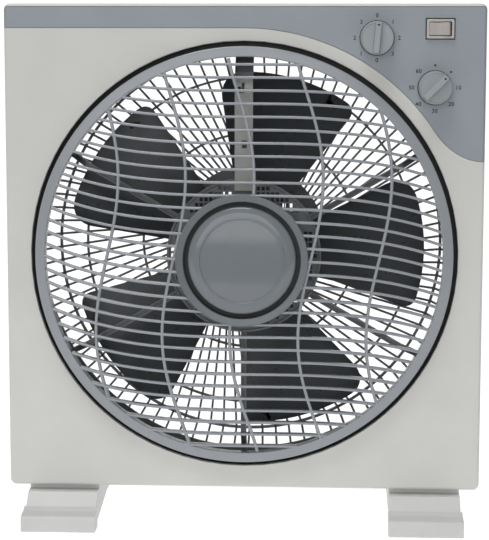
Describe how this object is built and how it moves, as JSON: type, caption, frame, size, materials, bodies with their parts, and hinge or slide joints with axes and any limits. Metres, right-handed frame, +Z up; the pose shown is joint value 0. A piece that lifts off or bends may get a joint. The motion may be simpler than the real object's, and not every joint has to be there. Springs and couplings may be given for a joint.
{
  "type": "box fan",
  "caption": "Square box fan on two moulded feet, with a turning louver grille and a six-strut support over the impeller, a slotted rear guard, and speed, timer and louver controls.",
  "frame": {"origin": "middle of the footprint, on the surface the feet stand on", "axes": "+Z up, the louver side faces -Y, +X to the right as seen from the front"},
  "size_m": [0.39, 0.2, 0.429],
  "materials": {
    "shell_plastic": "satin moulded light grey",
    "panel_plastic": "satin moulded blue-grey",
    "foot_plastic": "satin moulded pale grey",
    "louver_plastic": "satin moulded mid grey",
    "cap_plastic": "smooth satin grey",
    "guard_plastic": "moulded grey",
    "blade_plastic": "smooth charcoal",
    "dark_plastic": "matte",
    "button_plastic": "satin beige",
    "bezel_plastic": "satin warm grey",
    "nylon": "natural nylon",
    "steel": "zinc plated",
    "screw_steel": "zinc plated",
    "lamination": "varnished steel laminations",
    "copper": "enamelled copper wire",
    "bronze": "sintered bronze"
  },
  "bodies": {
    "housing": {"front_shell": "shell_plastic", "rear_shell": "shell_plastic", "control_panel": "panel_plastic", "left_foot": "foot_plastic", "right_foot": "foot_plastic", "louver_motor": "steel", "front_support": "guard_plastic", "rear_guard": "guard_plastic", "wiring_duct_cover": "guard_plastic", "motor_front_cover": "steel", "motor_rear_cover": "steel", "front_bearing": "bronze", "rear_bearing": "bronze", "stator_core": "lamination", "front_winding": "copper", "rear_winding": "copper", "speed_switch_body": "dark_plastic", "timer_body": "dark_plastic", "rocker_bezel": "bezel_plastic", "capacitor": "dark_plastic", "cord_gland": "dark_plastic", "louver_retainer_1": "nylon", "louver_retainer_2": "nylon", "louver_retainer_3": "nylon", "louver_retainer_4": "nylon", "guard_screw_1": "screw_steel", "guard_screw_2": "screw_steel", "guard_screw_3": "screw_steel", "guard_screw_4": "screw_steel", "motor_screw_1": "screw_steel", "motor_screw_2": "screw_steel", "motor_screw_3": "screw_steel", "louver_motor_screw_1": "screw_steel", "louver_motor_screw_2": "screw_steel", "support_screw_1": "screw_steel", "support_screw_2": "screw_steel", "support_screw_3": "screw_steel", "support_screw_4": "screw_steel", "shell_screw_1": "screw_steel", "shell_screw_2": "screw_steel", "shell_screw_3": "screw_steel", "shell_screw_4": "screw_steel", "foot_screw_1": "screw_steel", "foot_screw_2": "screw_steel", "foot_screw_3": "screw_steel", "foot_screw_4": "screw_steel"},
    "louver": {"louver_grille": "louver_plastic", "louver_hub_cap": "cap_plastic"},
    "fan": {"impeller": "blade_plastic", "spinner_nut": "blade_plastic", "motor_shaft": "steel", "impeller_drive_pin": "steel", "rotor_core": "lamination"},
    "speed_control": {"speed_knob": "panel_plastic", "speed_switch_shaft": "steel"},
    "timer_control": {"timer_knob": "panel_plastic", "timer_shaft": "steel"},
    "rocker": {"rocker_button": "button_plastic"}
  },
  "joints": [
    {"name": "fan_spin", "type": "hinge", "parent": "housing", "child": "fan", "pos_m": [0, 0, 0.2244], "axis": [0, 1, 0], "continuous": true},
    {"name": "louver_spin", "type": "hinge", "parent": "housing", "child": "louver", "pos_m": [0, 0, 0.2244], "axis": [0, 1, 0], "continuous": true},
    {"name": "speed_knob_turn", "type": "hinge", "parent": "housing", "child": "speed_control", "pos_m": [0.107, 0, 0.4016], "axis": [0, 1, 0], "continuous": true},
    {"name": "timer_knob_turn", "type": "hinge", "parent": "housing", "child": "timer_control", "pos_m": [0.1539, 0, 0.362], "axis": [0, 1, 0], "range_deg": [-45, 270]},
    {"name": "rocker_tilt", "type": "hinge", "parent": "housing", "child": "rocker", "pos_m": [0.1576, -0.062, 0.4089], "axis": [0, 0, 1], "range_deg": [0, 14]}
  ]
}
